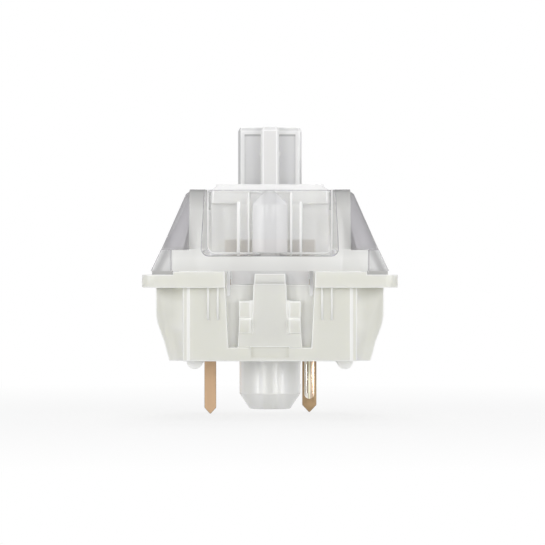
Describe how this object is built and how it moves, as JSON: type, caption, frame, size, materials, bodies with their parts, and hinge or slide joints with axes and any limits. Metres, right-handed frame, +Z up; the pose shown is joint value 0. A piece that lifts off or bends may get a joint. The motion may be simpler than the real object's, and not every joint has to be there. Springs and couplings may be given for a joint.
{
  "type": "mechanical keyboard switch",
  "caption": "Plate-mounted keyboard switch with a clear cover, a milky base and a cross-topped stem that springs back when pressed.",
  "frame": {"origin": "on the stem's axis, in the plane of the circuit board's top face, which the four feet stand on", "axes": "+Z up along the stem, -Y towards the window, +Y towards the pins"},
  "size_m": [0.0156, 0.0156, 0.0182],
  "materials": {
    "milky_plastic": "semi-gloss moulded, slightly translucent",
    "clear_plastic": "clear polished plastic",
    "light_guide_plastic": "milky, light-scattering",
    "white_plastic": "smooth, low friction",
    "spring_steel": "drawn wire",
    "copper_alloy": "stamped strip",
    "contact_metal": "polished"
  },
  "bodies": {
    "housing": {"lower_housing": "milky_plastic", "upper_housing": "clear_plastic", "light_guide": "light_guide_plastic", "fixed_contact": "copper_alloy", "fixed_contact_point": "contact_metal", "moving_contact_terminal": "copper_alloy", "return_spring": "spring_steel"},
    "stem": {"stem": "white_plastic"},
    "leaf": {"moving_contact_leaf": "copper_alloy", "moving_contact_point": "contact_metal"}
  },
  "joints": [
    {"name": "stem_travel", "type": "slide", "parent": "housing", "child": "stem", "axis": [0, 0, -1], "range_m": [0, 0.004], "stiffness_N_per_m": 65, "springref_m": -0.0054, "deforming": ["return_spring"]},
    {"name": "leaf_bend", "type": "hinge", "parent": "housing", "child": "leaf", "pos_m": [0, 0.00487, 0.0026], "axis": [1, 0, 0], "range_deg": [0, 5.4]}
  ],
  "couplings": [
    {"joint": "leaf_bend", "follows": "stem_travel", "rad_per_m": 23.25}
  ]
}
